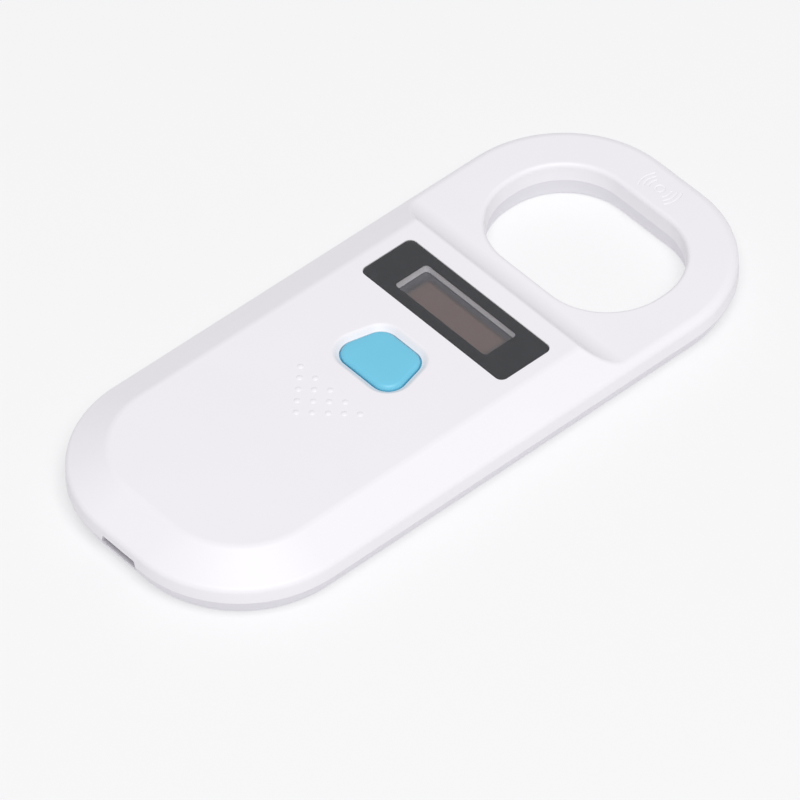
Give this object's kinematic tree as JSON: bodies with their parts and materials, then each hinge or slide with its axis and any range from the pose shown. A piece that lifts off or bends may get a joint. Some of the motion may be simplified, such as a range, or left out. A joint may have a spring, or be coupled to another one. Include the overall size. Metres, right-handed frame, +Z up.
{
  "type": "microchip scanner",
  "caption": "Handheld pet microchip scanner: a slim white casing with a small display, one push key and an open antenna head, charged through a micro-USB port.",
  "frame": {"origin": "centre of the casing's footprint, on the underside that it rests on", "axes": "+X to the right of the display, +Y from the charging port towards the antenna head, +Z up out of the display"},
  "size_m": [0.066, 0.1492, 0.012],
  "materials": {
    "white_abs": "moulded ABS, fine satin, faint cool tint",
    "lens_film": "clear polycarbonate film, hard-coated, semi-gloss",
    "mask_ink": "black screen print under the clear film",
    "black_tape": "double-sided tape",
    "oled_glass": "unlit display glass, brown-grey",
    "black_foam": "closed-cell foam",
    "flex_film": "amber polyimide film",
    "blue_abs": "moulded light blue plastic, satin",
    "black_nylon": "glass-filled nylon",
    "tinned_steel": "tin plate, satin",
    "green_board": "green solder resist on glass-epoxy board",
    "chip_epoxy": "moulded epoxy with tinned legs",
    "crystal_can": "nickel-plated can",
    "ferrite": "ferrite core",
    "ceramic": "ceramic chips with tinned ends",
    "cell_foil": "laminated aluminium pouch, satin",
    "amber_tape": "polyimide tape",
    "red_wire": "silicone insulation",
    "black_wire": "silicone insulation",
    "cream_nylon": "natural nylon",
    "coil_copper": "enamelled copper winding wire",
    "screw_steel": "zinc-plated steel",
    "label_film": "plain silver polyester film"
  },
  "bodies": {
    "casing": {"front_shell": "white_abs", "rear_shell": "white_abs", "display_lens": "lens_film", "lens_mask": "mask_ink", "lens_adhesive": "black_tape", "oled_panel": "oled_glass", "oled_foam": "black_foam", "oled_flex": "flex_film", "switch_body": "black_nylon", "switch_cover": "tinned_steel", "main_board": "green_board", "microcontroller": "chip_epoxy", "reader_chip": "chip_epoxy", "charger_chip": "chip_epoxy", "crystal": "crystal_can", "power_inductor": "ferrite", "small_passives": "ceramic", "buzzer": "black_nylon", "usb_socket": "tinned_steel", "usb_tongue": "black_nylon", "battery_cell": "cell_foil", "battery_tape": "amber_tape", "battery_lead_red": "red_wire", "battery_lead_black": "black_wire", "battery_connector": "cream_nylon", "antenna_coil": "coil_copper", "coil_leads": "coil_copper", "casing_screws": "screw_steel", "board_screws": "screw_steel", "rating_label": "label_film"},
    "key": {"button_cap": "blue_abs"},
    "plunger": {"switch_plunger": "black_nylon"}
  },
  "joints": [
    {"name": "key_press", "type": "slide", "parent": "casing", "child": "key", "axis": [0, 0, -1], "range_m": [0, 0.00025], "stiffness_N_per_m": 120},
    {"name": "plunger_press", "type": "slide", "parent": "casing", "child": "plunger", "axis": [0, 0, -1], "range_m": [0, 0.00025], "stiffness_N_per_m": 60}
  ],
  "couplings": [
    {"joint": "plunger_press", "follows": "key_press", "ratio": 1}
  ]
}
